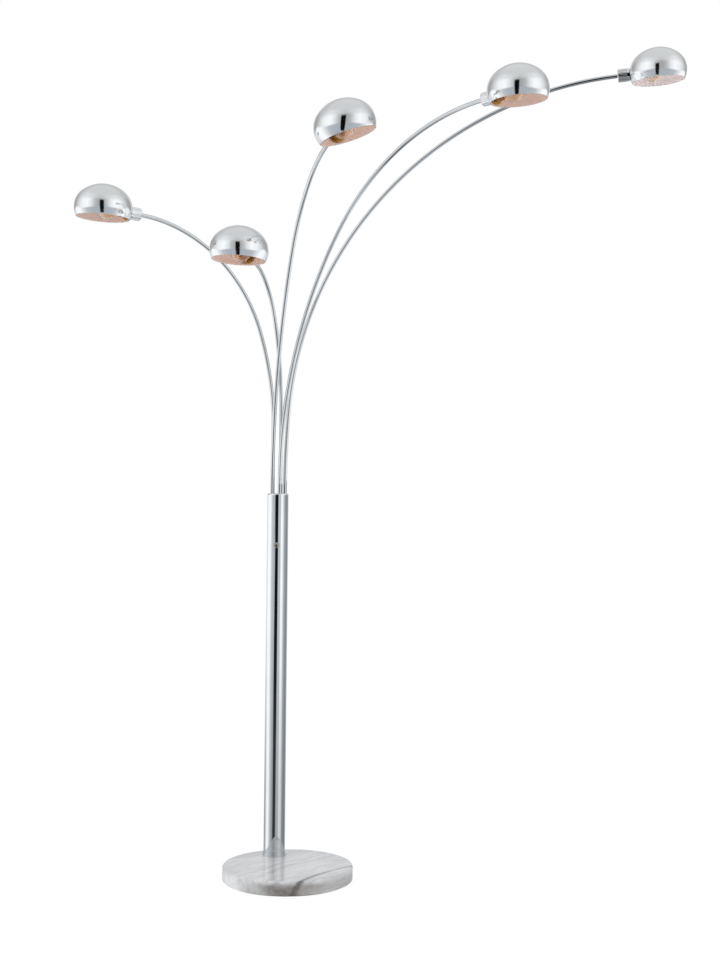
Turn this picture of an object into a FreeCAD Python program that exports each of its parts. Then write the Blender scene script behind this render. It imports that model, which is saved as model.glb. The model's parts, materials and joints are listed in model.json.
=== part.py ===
import FreeCAD, Part
import math
import os

import Sketcher
from FreeCAD import Placement, Rotation, Vector

# A five-arm floor lamp. The origin is on the floor under the centre of the round base,
# Z points up, X to the lamp's right and Y to its back. Lengths are in millimetres.

os.makedirs("parts", exist_ok=True)
doc = FreeCAD.newDocument("five_arm_floor_lamp")
sheet = doc.addObject("Spreadsheet::Sheet", "Sizes")

LAMP_SIZES = {
    # fits between pieces
    "running_gap": 0.05,
    "seat_gap": 0.1,
    "wall_gap": 0.2,
    "lay_gap": 0.3,
    # round stone base on a felt sheet
    "base_radius": 150.0,
    "base_top": 34.0,
    "base_edge_round": 4.5,
    "base_under_bevel": 1.5,
    "felt_radius": 144.0,
    "felt_thickness": 2.0,
    "recess_radius": 23.0,
    "recess_depth": 12.0,
    # clamping rod, nut and washer under the pole
    "rod_radius": 5.0,
    "rod_hole_radius": 5.5,
    "rod_under_floor_gap": 2.6,
    "rod_into_plug": 22.0,
    "clamp_washer_radius": 18.0,
    "clamp_washer_thickness": 2.5,
    "clamp_nut_flats": 17.0,
    "clamp_nut_height": 7.5,
    "plug_height": 20.0,
    # pole, which stands behind and to the left of the base centre
    "pole_x": -36.8,
    "pole_y": 88.6,
    "pole_radius": 25.5,
    "pole_wall": 1.5,
    "cap_top": 891.0,
    "cap_flange": 10.0,
    "cap_spigot": 14.0,
    "cap_round": 4.0,
    # stepped ring round the foot of the pole
    "foot_ring_radius": 27.6,
    "foot_ring_step_radius": 26.7,
    "foot_ring_height": 9.5,
    "foot_ring_step_height": 5.5,
    # rubber bush at the back of the pole
    "bush_level": 66.0,
    "bush_flange_radius": 8.0,
    "bush_sleeve_radius": 5.8,
    "bush_lip_radius": 7.2,
    "bush_bore_radius": 3.1,
    "bush_flange_stand": 3.0,
    "bush_lip_depth": 3.0,
    # turning dimmer at the front of the pole
    "dimmer_drop": 123.0,
    "dimmer_radius": 10.0,
    "dimmer_face": 21.6,
    "dimmer_back": 6.0,
    "dimmer_neck_radius": 3.5,
    "dimmer_neck_end": 27.7,
    "dimmer_nut_flats": 9.0,
    "dimmer_nut_height": 2.0,
    "spindle_radius": 3.0,
    "spindle_back": 22.3,
    "spindle_tip": 36.6,
    "knob_radius": 7.0,
    "knob_back": 27.9,
    "knob_front": 40.0,
    "knob_rise": 3.0,
    "knob_bore_end": 37.0,
    "knob_flute_radius": 0.5,
    # wires inside the pole
    "cable_radius": 3.0,
    "cable_bend": 14.0,
    "cable_start": 20.7,
    "lead_radius": 2.5,
    "terminal_drop": 63.0,
    "terminal_height": 12.0,
    # the five arms and what holds them in the cap
    "hole_circle_radius": 16.5,
    "arm_radius": 4.75,
    "arm_wall": 1.0,
    "arm_stub": 33.0,
    "washer_radius": 7.4,
    "washer_thickness": 1.0,
    "clip_radius": 6.8,
    "clip_thickness": 1.1,
    "clip_groove_depth": 0.4,
    "clip_groove_width": 1.3,
    "arm_inside_collar": 4.3,
    "arm_flange_radius": 6.5,
    "arm_flange_thickness": 1.2,
    # ribbed collar at the end of each arm
    "collar_length": 26.0,
    "collar_radius": 14.5,
    "collar_bore_radius": 12.0,
    "collar_back_wall": 3.0,
    "collar_bevel": 1.5,
    "flute_radius": 1.0,
    "flute_centre": 15.0,
    "flute_length": 19.0,
    "flute_margin": 2.5,
    # lamp-holder, its ring inside the shade, and the bulb
    "holder_radius": 11.9,
    "holder_back": 84.0,
    "holder_front": 41.0,
    "holder_cavity_back": 62.0,
    "holder_cavity_radius": 7.6,
    "ring_radius": 17.0,
    "ring_back": 61.0,
    "ring_front": 55.0,
    "bulb_radius": 22.5,
    "bulb_wall": 0.8,
    "bulb_centre": 12.0,
    "bulb_neck_radius": 6.6,
    "bulb_base_radius": 7.0,
    "bulb_base_front": 42.5,
    "bulb_base_back": 60.5,
    "bulb_contact_radius": 3.0,
    "bulb_contact_end": 61.7,
    # spun dome shade
    "dome_radius": 64.0,
    "dome_height": 53.0,
    "dome_skirt": 21.4,
    "dome_shoulder": 47.0,
    "dome_wall": 1.0,
    "dome_seat_half": 20.0,
    "dome_clear": 75.0,
}

COUNTS = {
    "arm_count": 5,
    "flute_count": 24,
    "knob_flute_count": 18,
}

# Arms from the left end of the fan to the right end. Angles are in degrees, counted from X
# towards Y. Each arm leaves its own hole in the cap upright, bends gently and then tightly.
ARMS = {
    "arm_1": {
        "hole_angle": 144.0, "azimuth": -142.0, "straight": 155.0, "wide_radius": 670.0,
        "wide_angle": 20.0, "tight_radius": 356.0, "tight_angle": 69.0, "shade_roll": -4.0,
    },
    "arm_2": {
        "hole_angle": 72.0, "azimuth": -102.5, "straight": 180.0, "wide_radius": 447.0,
        "wide_angle": 28.7, "tight_radius": 236.0, "tight_angle": 60.4, "shade_roll": -2.5,
    },
    "arm_3": {
        "hole_angle": -144.0, "azimuth": -72.5, "straight": 6.0, "wide_radius": 957.0,
        "wide_angle": 35.0, "tight_radius": 392.0, "tight_angle": 53.6, "shade_roll": 18.5,
    },
    "arm_4": {
        "hole_angle": -72.0, "azimuth": -44.5, "straight": 31.0, "wide_radius": 939.0,
        "wide_angle": 37.2, "tight_radius": 542.0, "tight_angle": 52.3, "shade_roll": 6.5,
    },
    "arm_5": {
        "hole_angle": 0.0, "azimuth": -13.3, "straight": 6.0, "wide_radius": 2340.0,
        "wide_angle": 4.9, "tight_radius": 820.0, "tight_angle": 81.9, "shade_roll": 7.0,
    },
}

# Sizes that follow from the ones above.
DERIVED = {
    "marble_height": "=base_top - felt_thickness",
    "recess_roof": "=felt_thickness + recess_depth",
    "rod_length": "=base_top + rod_into_plug - rod_under_floor_gap",
    "rod_core_radius": "=rod_radius - running_gap",
    "clamp_washer_low": "=recess_roof - clamp_washer_thickness",
    "clamp_nut_low": "=clamp_washer_low - clamp_nut_height",
    "pole_top": "=cap_top - cap_flange",
    "pole_length": "=pole_top - base_top",
    "pole_bore_radius": "=pole_radius - pole_wall",
    "plug_radius": "=pole_bore_radius - running_gap",
    "spigot_radius": "=pole_bore_radius - seat_gap",
    "foot_ring_bore": "=pole_radius + wall_gap",
    "bush_hole_radius": "=bush_sleeve_radius + wall_gap",
    "bush_outer_seat": "=pole_radius + running_gap",
    "bush_inner_seat": "=pole_bore_radius - seat_gap",
    "bush_sleeve_start": "=bush_inner_seat - bush_lip_depth",
    "bush_sleeve_length": "=bush_outer_seat - bush_sleeve_start",
    "bush_flange_start": "=bush_outer_seat - bush_lip_depth",
    "bush_flange_length": "=bush_lip_depth + bush_flange_stand",
    "bush_length": "=bush_outer_seat + bush_flange_stand - bush_sleeve_start",
    "dimmer_level": "=cap_top - dimmer_drop",
    "dimmer_hole_radius": "=dimmer_neck_radius + wall_gap",
    "dimmer_nut_low": "=pole_radius + seat_gap",
    "spindle_bore_radius": "=spindle_radius + running_gap",
    "spindle_bore_back": "=spindle_back - seat_gap",
    "knob_shoulder": "=knob_front - knob_rise",
    "knob_dome": "=(knob_radius ^ 2 + knob_rise ^ 2) / (2 * knob_rise)",
    "knob_flute_length": "=knob_front - knob_back",
    "terminal_level": "=cap_top - terminal_drop",
    "cable_rise": "=dimmer_level - dimmer_radius - lay_gap - bush_level - cable_bend",
    "cable_run": "=cable_start - cable_bend",
    "dimmed_low": "=dimmer_level + dimmer_radius + lay_gap",
    "dimmed_length": "=terminal_level - lay_gap - dimmed_low",
    "terminal_radius": "=pole_bore_radius - lay_gap",
    "terminal_top": "=terminal_level + terminal_height",
    "spigot_low": "=pole_top - cap_spigot",
    "cap_round_level": "=cap_top - cap_round",
    "cap_round_radius": "=pole_radius - cap_round",
    "arm_hole_radius": "=arm_radius + running_gap",
    "arm_bore_radius": "=arm_radius - arm_wall",
    "washer_low": "=spigot_low - washer_thickness",
    "clip_high": "=washer_low - running_gap",
    "clip_low": "=clip_high - clip_thickness",
    "clip_groove_radius": "=arm_radius - clip_groove_depth",
    "clip_bore_radius": "=clip_groove_radius + running_gap",
    "clip_groove_low": "=(clip_high + clip_low - clip_groove_width) / 2 - cap_top",
    "clip_groove_outer": "=arm_radius + seat_gap",
    "arm_lead_drop": "=cap_top - terminal_top - lay_gap",
    "head_reach": "=collar_length + dome_radius",
    "collar_inside": "=head_reach - collar_back_wall",
    "collar_bevel_start": "=head_reach - collar_bevel",
    "collar_bevel_radius": "=collar_radius - collar_bevel",
    "collar_front": "=dome_radius - dome_wall",
    "arm_flange_start": "=arm_inside_collar - arm_flange_thickness",
    "arm_lead_inside": "=head_reach - holder_back - lay_gap",
    "flute_front": "=head_reach - flute_margin - flute_length",
    "shade_hole_radius": "=holder_radius + wall_gap",
    "ring_bore_radius": "=holder_radius + seat_gap",
    "shoulder_centre": "=dome_radius - dome_shoulder",
    "dome_crown": "=(shoulder_centre ^ 2 + dome_height ^ 2 - dome_shoulder ^ 2)"
                  " / (2 * (dome_height - dome_shoulder))",
    "crown_drop": "=dome_crown - dome_height",
    "join_cosine": "=shoulder_centre / (dome_crown - dome_shoulder)",
    "join_sine": "=crown_drop / (dome_crown - dome_shoulder)",
    "shoulder_inside": "=dome_shoulder - dome_wall",
    "crown_inside": "=dome_crown - dome_wall",
    "dome_height_inside": "=dome_height - dome_wall",
    "join_x": "=shoulder_centre + dome_shoulder * join_cosine",
    "join_z": "=dome_shoulder * join_sine",
    "join_x_inside": "=shoulder_centre + shoulder_inside * join_cosine",
    "join_z_inside": "=shoulder_inside * join_sine",
    "rim_radius": "=shoulder_centre + sqrt(dome_shoulder ^ 2 - dome_skirt ^ 2)",
    "rim_radius_inside": "=shoulder_centre + sqrt(shoulder_inside ^ 2 - dome_skirt ^ 2)",
    "seat_arc": "=dome_shoulder + wall_gap",
    "seat_x": "=shoulder_centre + sqrt(seat_arc ^ 2 - dome_seat_half ^ 2)",
    "ring_seat_arc": "=shoulder_inside - wall_gap",
    "ring_seat_x": "=shoulder_centre + sqrt(ring_seat_arc ^ 2 - dome_seat_half ^ 2)",
    "bulb_front": "=bulb_radius - bulb_centre",
    "bulb_front_inside": "=bulb_front - bulb_wall",
    "bulb_inside": "=bulb_radius - bulb_wall",
    "bulb_neck_inside": "=bulb_neck_radius - bulb_wall",
    "bulb_glass_end": "=bulb_base_front - seat_gap",
    "bulb_neck_end": "=bulb_centre + sqrt(bulb_radius ^ 2 - bulb_neck_radius ^ 2)",
    "bulb_neck_end_inside": "=bulb_centre + sqrt(bulb_inside ^ 2 - bulb_neck_inside ^ 2)",
}


def fill_sheet():
    """Write every size into its own named cell."""
    rows = dict(LAMP_SIZES)
    rows.update(COUNTS)
    for arm, values in ARMS.items():
        for name, value in values.items():
            rows[arm + "_" + name] = value
    rows.update(DERIVED)
    for row, (name, value) in enumerate(rows.items(), start=1):
        sheet.set("A%d" % row, name)
        sheet.set("B%d" % row, str(value))
        sheet.setAlias("B%d" % row, name)
    doc.recompute()


def number(name):
    """The value of a named size; a leading minus sign turns it round."""
    if name == "0":
        return 0.0
    if name.startswith("-"):
        return -number(name[1:])
    return float(sheet.get(name))


def formula(name):
    """The same size as an expression for a property."""
    if name.startswith("-"):
        return "-Sizes." + name[1:]
    return "Sizes." + name


# ---------------------------------------------------------------- sketches and bodies


def bind(sketch, constraint, name):
    index = sketch.addConstraint(constraint)
    sketch.setExpression("Constraints[%d]" % index, formula(name))


def pin_point(sketch, edge, end, place):
    """Hold one point of an edge at named distances from the sketch's origin."""
    for name, kind, axis in ((place[0], "DistanceX", -2), (place[1], "DistanceY", -1)):
        if name == "0":
            sketch.addConstraint(Sketcher.Constraint("PointOnObject", edge, end, axis))
        else:
            bind(sketch, Sketcher.Constraint(kind, -1, 1, edge, end, number(name)), name)


def arc_between(start, stop, radius, side):
    """The shorter arc from start to stop; side is 1 for a centre on the left, -1 on the right."""
    half = (stop - start) * 0.5
    across = Vector(-half.y, half.x, 0).normalize()
    centre = start + half + across * side * math.sqrt(radius ** 2 - half.Length ** 2)
    first, last = (start, stop) if side > 0 else (stop, start)
    angles = [math.atan2(point.y - centre.y, point.x - centre.x) for point in (first, last)]
    return Part.ArcOfCircle(Part.Circle(centre, Vector(0, 0, 1), radius), angles[0], angles[1])


def add_outline(sketch, corners, arcs=None):
    """A closed outline through named corners; arcs gives the edges that are round."""
    arcs = arcs or {}
    points = [Vector(number(x), number(y), 0) for x, y in corners]
    edges = []
    for index, start in enumerate(points):
        stop = points[(index + 1) % len(points)]
        if index not in arcs:
            edges.append((sketch.addGeometry(Part.LineSegment(start, stop), False), 1, 2))
            continue
        radius, side = arcs[index]
        edge = sketch.addGeometry(arc_between(start, stop, number(radius), side), False)
        bind(sketch, Sketcher.Constraint("Radius", edge, number(radius)), radius)
        edges.append((edge, 1, 2) if side > 0 else (edge, 2, 1))
    for index, (edge, first, _) in enumerate(edges):
        before, _, last = edges[index - 1]
        sketch.addConstraint(Sketcher.Constraint("Coincident", before, last, edge, first))
        pin_point(sketch, edge, first, corners[index])


def add_circle(sketch, radius, place=("0", "0")):
    centre = Vector(number(place[0]), number(place[1]), 0)
    circle = sketch.addGeometry(Part.Circle(centre, Vector(0, 0, 1), number(radius)), False)
    bind(sketch, Sketcher.Constraint("Radius", circle, number(radius)), radius)
    if place == ("0", "0"):
        sketch.addConstraint(Sketcher.Constraint("Coincident", circle, 3, -1, 1))
    else:
        pin_point(sketch, circle, 3, place)


def add_hexagon(sketch, flats):
    """A regular hexagon about the origin, measured across its flats."""
    reach = number(flats) / math.sqrt(3)
    corners = []
    for side in range(6):
        angle = math.radians(60 * side)
        corners.append(Vector(reach * math.cos(angle), reach * math.sin(angle), 0))
    lines = []
    for index, start in enumerate(corners):
        stop = corners[(index + 1) % 6]
        lines.append(sketch.addGeometry(Part.LineSegment(start, stop), False))
    guide = sketch.addGeometry(Part.Circle(Vector(0, 0, 0), Vector(0, 0, 1), reach), True)
    for index, line in enumerate(lines):
        before = lines[index - 1]
        sketch.addConstraint(Sketcher.Constraint("Coincident", before, 2, line, 1))
        sketch.addConstraint(Sketcher.Constraint("PointOnObject", line, 1, guide))
        if index:
            sketch.addConstraint(Sketcher.Constraint("Equal", before, line))
    sketch.addConstraint(Sketcher.Constraint("Coincident", guide, 3, -1, 1))
    sketch.addConstraint(Sketcher.Constraint("PointOnObject", lines[0], 1, -1))
    width = sketch.addConstraint(Sketcher.Constraint("Radius", guide, reach))
    sketch.setExpression("Constraints[%d]" % width, formula(flats) + " / sqrt(3)")


def new_body(name):
    body = doc.addObject("PartDesign::Body", name)
    body.Label = name
    return body


def new_sketch(body, name, role, offset=None):
    """A sketch on one of the body's own planes, moved along its normal by a named size."""
    sketch = body.newObject("Sketcher::SketchObject", body.Name + "_" + name)
    for plane in body.Origin.OriginFeatures:
        if plane.Role == role:
            sketch.AttachmentSupport = [(plane, "")]
    sketch.MapMode = "FlatFace"
    if offset:
        sketch.setExpression("AttachmentOffset.Base.z", formula(offset))
    return sketch


def new_feature(body, kind, name, sketch):
    feature = body.newObject("PartDesign::" + kind, body.Name + "_" + name)
    feature.Profile = sketch
    return feature


def turn(body, name, corners, arcs=None, axis="V_Axis", kind="Revolution"):
    """Turn an outline in the body's XZ plane about the Z axis, or about X for H_Axis."""
    sketch = new_sketch(body, name + "_outline", "XZ_Plane")
    add_outline(sketch, corners, arcs)
    feature = new_feature(body, kind, name, sketch)
    feature.ReferenceAxis = (sketch, [axis])
    return feature


def repeat_round(body, name, feature, axis, count):
    """Repeat a cut round an axis and make the result the tip of the body."""
    pattern = body.newObject("PartDesign::PolarPattern", body.Name + "_" + name)
    pattern.Originals = [feature]
    pattern.Axis = axis
    pattern.Angle = 360
    body.Tip = pattern
    pattern.setExpression("Occurrences", formula(count))
    return pattern


# ---------------------------------------------------------------- primitives


def cylinder(name, radius, length, placement=Placement()):
    piece = doc.addObject("Part::Cylinder", name)
    piece.setExpression("Radius", formula(radius))
    piece.setExpression("Height", formula(length))
    piece.Placement = placement
    return piece


def bend(name, bend_radius, tube_radius, angle, placement):
    piece = doc.addObject("Part::Torus", name)
    piece.setExpression("Radius1", formula(bend_radius))
    piece.setExpression("Radius2", formula(tube_radius))
    if angle:
        piece.setExpression("Angle3", formula(angle))
    else:
        piece.Angle3 = 90
    piece.Placement = placement
    return piece


def join(name, pieces):
    group = doc.addObject("Part::MultiFuse", name)
    group.Shapes = pieces
    return group


def cut(name, base, tool):
    piece = doc.addObject("Part::Cut", name)
    piece.Base = base
    piece.Tool = tool
    return piece


def common(name, base, tool):
    piece = doc.addObject("Part::Common", name)
    piece.Base = base
    piece.Tool = tool
    return piece


def group_of(name, pieces):
    group = doc.addObject("Part::Compound", name)
    group.Links = pieces
    return group


def upright(x="0", y="0", level="0"):
    return Placement(Vector(number(x), number(y), number(level)), Rotation())


def on_pole(level="0"):
    """On the pole's axis at a named level, upright."""
    return upright("pole_x", "pole_y", level)


def facing(direction, level):
    """On the pole's axis at a named level, with X pointing along a horizontal direction."""
    place = Vector(number("pole_x"), number("pole_y"), number(level))
    return Placement(place, Rotation(Vector(0, 0, 1), direction))


def along(start, direction):
    """Start point, and Z along a direction."""
    return Placement(start, Rotation(Vector(0, 0, 1), direction))


NODES = {}


def keep(name, piece):
    piece.Label = name
    NODES[name] = piece


# ---------------------------------------------------------------- base and pole


def build_base():
    felt = cylinder("felt_disc", "felt_radius", "felt_thickness")
    opening = cylinder("felt_opening", "recess_radius", "felt_thickness", on_pole())
    keep("base_felt", cut("base_felt", felt, opening))

    stone = new_body("marble_base")
    outline = new_sketch(stone, "outline", "XY_Plane", "felt_thickness")
    add_circle(outline, "base_radius")
    disc = new_feature(stone, "Pad", "disc", outline)
    disc.setExpression("Length", formula("marble_height"))
    recess = new_sketch(stone, "recess", "XY_Plane", "felt_thickness")
    add_circle(recess, "recess_radius", ("pole_x", "pole_y"))
    pocket = new_feature(stone, "Pocket", "recess_cut", recess)
    pocket.setExpression("Length", formula("recess_depth"))
    pocket.Reversed = True
    hole = new_sketch(stone, "rod_hole", "XY_Plane")
    add_circle(hole, "rod_hole_radius", ("pole_x", "pole_y"))
    drilled = new_feature(stone, "Pocket", "rod_hole_cut", hole)
    drilled.setExpression("Length", formula("base_top"))
    drilled.Reversed = True
    doc.recompute()
    rounding = stone.newObject("PartDesign::Fillet", "marble_base_edge")
    rounding.Base = (drilled, [outer_edge(drilled.Shape, number("base_top"))])
    rounding.setExpression("Radius", formula("base_edge_round"))
    doc.recompute()
    bevel = stone.newObject("PartDesign::Chamfer", "marble_base_bevel")
    bevel.Base = (rounding, [outer_edge(rounding.Shape, number("felt_thickness"))])
    bevel.setExpression("Size", formula("base_under_bevel"))
    keep("marble_base", stone)

    keep("clamp_washer", ring("clamp_washer", "clamp_washer_radius", "rod_hole_radius",
                              "clamp_washer_thickness", on_pole("clamp_washer_low")))
    keep("clamp_nut", hexagon_nut("clamp_nut", "clamp_nut_flats", "rod_radius",
                                  "clamp_nut_height", on_pole("clamp_nut_low")))
    keep("clamp_rod", cylinder("clamp_rod", "rod_core_radius", "rod_length",
                               on_pole("rod_under_floor_gap")))


def outer_edge(shape, level):
    """The name of the round edge that runs about the origin at this height."""
    for index, edge in enumerate(shape.Edges, start=1):
        box = edge.BoundBox
        flat = abs(box.ZMin - level) < 0.01 and abs(box.ZMax - level) < 0.01
        if flat and box.XLength > 1.9 * number("base_radius"):
            return "Edge%d" % index
    raise ValueError("no edge at this height")


def ring(name, outer, inner, thickness, placement):
    disc = cylinder(name + "_disc", outer, thickness, placement)
    hole = cylinder(name + "_hole", inner, thickness, placement)
    return cut(name, disc, hole)


def hexagon_nut(name, flats, bore, height, placement):
    body = new_body(name)
    sketch = new_sketch(body, "flats", "XY_Plane")
    add_hexagon(sketch, flats)
    add_circle(sketch, bore)
    pad = new_feature(body, "Pad", "height", sketch)
    pad.setExpression("Length", formula(height))
    body.Placement = placement
    return body


def build_pole():
    keep("pole_plug", ring("pole_plug", "plug_radius", "rod_radius", "plug_height",
                           on_pole("base_top")))

    pole = new_body("pole_tube")
    section = new_sketch(pole, "section", "XY_Plane", "base_top")
    add_circle(section, "pole_radius")
    add_circle(section, "pole_bore_radius")
    tube = new_feature(pole, "Pad", "tube", section)
    tube.setExpression("Length", formula("pole_length"))
    for name, radius, level, towards_back in (
        ("bush_hole", "bush_hole_radius", "bush_level", True),
        ("dimmer_hole", "dimmer_hole_radius", "dimmer_level", False),
    ):
        sketch = new_sketch(pole, name, "XZ_Plane")
        add_circle(sketch, radius, ("0", level))
        drilled = new_feature(pole, "Pocket", name + "_cut", sketch)
        drilled.setExpression("Length", formula("pole_radius") + " + 1")
        drilled.Reversed = not towards_back
    pole.Placement = on_pole()
    keep("pole_tube", pole)

    collar = new_body("foot_ring")
    turn(collar, "turned", [
        ("foot_ring_bore", "0"), ("foot_ring_radius", "0"),
        ("foot_ring_radius", "foot_ring_step_height"),
        ("foot_ring_step_radius", "foot_ring_step_height"),
        ("foot_ring_step_radius", "foot_ring_height"), ("foot_ring_bore", "foot_ring_height"),
    ])
    collar.Placement = on_pole("base_top")
    keep("foot_ring", collar)

    cap = new_body("top_cap")
    turn(cap, "turned", [
        ("0", "spigot_low"), ("spigot_radius", "spigot_low"), ("spigot_radius", "pole_top"),
        ("pole_radius", "pole_top"), ("pole_radius", "cap_round_level"),
        ("cap_round_radius", "cap_top"), ("0", "cap_top"),
    ], {4: ("cap_round", 1)})
    holes = new_sketch(cap, "arm_hole", "XY_Plane", "cap_top")
    add_circle(holes, "arm_hole_radius", ("hole_circle_radius", "0"))
    drilled = new_feature(cap, "Pocket", "arm_hole_cut", holes)
    drilled.setExpression("Length", "Sizes.cap_flange + Sizes.cap_spigot")
    repeat_round(cap, "arm_holes", drilled, (holes, ["N_Axis"]), "arm_count")
    cap.Placement = on_pole()
    keep("top_cap", cap)


def build_bush():
    """Rubber bush in the back wall of the pole, where the supply wire comes in."""
    backwards = facing(90, "bush_level")

    def outward(start):
        turned = Placement(Vector(number(start), 0, 0), Rotation(Vector(0, 1, 0), 90))
        return backwards.multiply(turned)

    def pole_core(name, radius):
        return cylinder(name, radius, "pole_length", on_pole())

    flange = cylinder("bush_flange", "bush_flange_radius", "bush_flange_length",
                      outward("bush_flange_start"))
    saddle = cut("bush_saddle", flange, pole_core("bush_outer_wall", "bush_outer_seat"))
    lip = cylinder("bush_lip", "bush_lip_radius", "bush_lip_depth", outward("bush_sleeve_start"))
    pad = common("bush_pad", lip, pole_core("bush_inner_wall", "bush_inner_seat"))
    sleeve = cylinder("bush_sleeve", "bush_sleeve_radius", "bush_length",
                      outward("bush_sleeve_start"))
    bore = cylinder("bush_bore", "bush_bore_radius", "bush_length", outward("bush_sleeve_start"))
    keep("wire_bush", cut("wire_bush", join("bush_solid", [saddle, pad, sleeve]), bore))


def build_dimmer():
    forwards = facing(-90, "dimmer_level")

    body = new_body("dimmer_body")
    turn(body, "turned", [
        ("-dimmer_back", "0"), ("-dimmer_back", "dimmer_radius"),
        ("dimmer_face", "dimmer_radius"), ("dimmer_face", "dimmer_neck_radius"),
        ("dimmer_neck_end", "dimmer_neck_radius"), ("dimmer_neck_end", "spindle_bore_radius"),
        ("spindle_bore_back", "spindle_bore_radius"), ("spindle_bore_back", "0"),
    ], axis="H_Axis")
    body.Placement = forwards
    keep("dimmer_body", body)

    nut_place = Placement(Vector(number("dimmer_nut_low"), 0, 0), Rotation(Vector(0, 1, 0), 90))
    keep("dimmer_nut", hexagon_nut("dimmer_nut", "dimmer_nut_flats", "dimmer_hole_radius",
                                   "dimmer_nut_height", forwards.multiply(nut_place)))

    spindle = new_body("dimmer_spindle")
    turn(spindle, "turned", [
        ("spindle_back", "0"), ("spindle_back", "spindle_radius"),
        ("spindle_tip", "spindle_radius"), ("spindle_tip", "0"),
    ], axis="H_Axis")
    spindle.Placement = forwards
    keep("dimmer_spindle", spindle)

    knob = new_body("dimmer_knob")
    turn(knob, "turned", [
        ("knob_back", "spindle_bore_radius"), ("knob_back", "knob_radius"),
        ("knob_shoulder", "knob_radius"), ("knob_front", "0"),
        ("knob_bore_end", "0"), ("knob_bore_end", "spindle_bore_radius"),
    ], {2: ("knob_dome", -1)}, axis="H_Axis")
    flute = new_sketch(knob, "flute", "YZ_Plane", "knob_front")
    add_circle(flute, "knob_flute_radius", ("knob_radius", "0"))
    cut_flute = new_feature(knob, "Pocket", "flute_cut", flute)
    cut_flute.setExpression("Length", formula("knob_flute_length"))
    repeat_round(knob, "flutes", cut_flute, (flute, ["N_Axis"]), "knob_flute_count")
    knob.Placement = forwards
    keep("dimmer_knob", knob)


def build_pole_wires():
    """Supply wire from the bush up to the dimmer, and the dimmed wire up to the terminals."""
    backwards = facing(90, "bush_level")
    inward = Placement(Vector(number("cable_start"), 0, 0), Rotation(Vector(0, 1, 0), -90))
    run = cylinder("supply_run", "cable_radius", "cable_run", backwards.multiply(inward))
    corner = Placement(
        Vector(number("cable_bend"), 0, number("cable_bend")),
        Rotation(Vector(0, 0, -1), Vector(-1, 0, 0), Vector(0, -1, 0), "XYZ"),
    )
    turn_up = bend("supply_bend", "cable_bend", "cable_radius", None, backwards.multiply(corner))
    rise_place = Placement(Vector(0, 0, number("cable_bend")), Rotation())
    rise = cylinder("supply_rise", "cable_radius", "cable_rise", backwards.multiply(rise_place))
    keep("supply_wire", join("supply_wire", [run, turn_up, rise]))
    keep("dimmed_wire", cylinder("dimmed_wire", "lead_radius", "dimmed_length",
                                 on_pole("dimmed_low")))
    keep("terminal_block", cylinder("terminal_block", "terminal_radius", "terminal_height",
                                    on_pole("terminal_level")))


# ---------------------------------------------------------------- arms


def hole_point(arm, level):
    """Centre of the arm's hole in the cap, at a named level."""
    angle = math.radians(number(arm + "_hole_angle"))
    return Vector(
        number("pole_x") + number("hole_circle_radius") * math.cos(angle),
        number("pole_y") + number("hole_circle_radius") * math.sin(angle),
        number(level),
    )


def arm_plane(arm):
    """The arm's hole on top of the cap, with X along the way the arm reaches."""
    turned = Rotation(Vector(0, 0, 1), number(arm + "_azimuth"))
    return Placement(hole_point(arm, "cap_top"), turned)


def bend_frame(start, lean, radius):
    """Centre and axes of a bend that starts at a point with this lean from upright."""
    heading = Vector(math.sin(lean), 0, math.cos(lean))
    outward = Vector(math.cos(lean), 0, -math.sin(lean))
    axes = Rotation(outward * -1, heading, Vector(0, 1, 0), "XYZ")
    return Placement(start + outward * radius, axes)


def bend_end(start, lean, radius, angle):
    """Where the bend stops."""
    across = radius * (math.cos(lean) - math.cos(lean + angle))
    rise = radius * (math.sin(lean + angle) - math.sin(lean))
    return start + Vector(across, 0, rise)


def arm_course(arm):
    """Frames of the two bends and of the arm's end, in the arm's own plane."""
    wide = number(arm + "_wide_radius")
    tight = number(arm + "_tight_radius")
    wide_angle = math.radians(number(arm + "_wide_angle"))
    tight_angle = math.radians(number(arm + "_tight_angle"))
    first = Vector(0, 0, number(arm + "_straight"))
    second = bend_end(first, 0.0, wide, wide_angle)
    end = bend_end(second, wide_angle, tight, tight_angle)
    lean = wide_angle + tight_angle
    heading = Vector(math.sin(lean), 0, math.cos(lean))
    frames = (bend_frame(first, 0.0, wide), bend_frame(second, wide_angle, tight))
    return frames, end, heading


def arm_rod(arm, name, radius, drop, inside):
    """A round rod along the arm's course, from below the cap to inside the collar."""
    plane = arm_plane(arm)
    (wide, tight), end, heading = arm_course(arm)
    low = Placement(Vector(0, 0, -number(drop)), Rotation())
    stub = cylinder(name + "_stub", radius, drop, plane.multiply(low))
    stub.setExpression("Height", formula(drop) + " + " + formula(arm + "_straight"))
    sweep_wide = bend(name + "_wide_bend", arm + "_wide_radius", radius, arm + "_wide_angle",
                      plane.multiply(wide))
    sweep_tight = bend(name + "_tight_bend", arm + "_tight_radius", radius, arm + "_tight_angle",
                       plane.multiply(tight))
    tip = cylinder(name + "_tip", radius, inside, plane.multiply(along(end, heading)))
    return [stub, sweep_wide, sweep_tight, tip]


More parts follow.
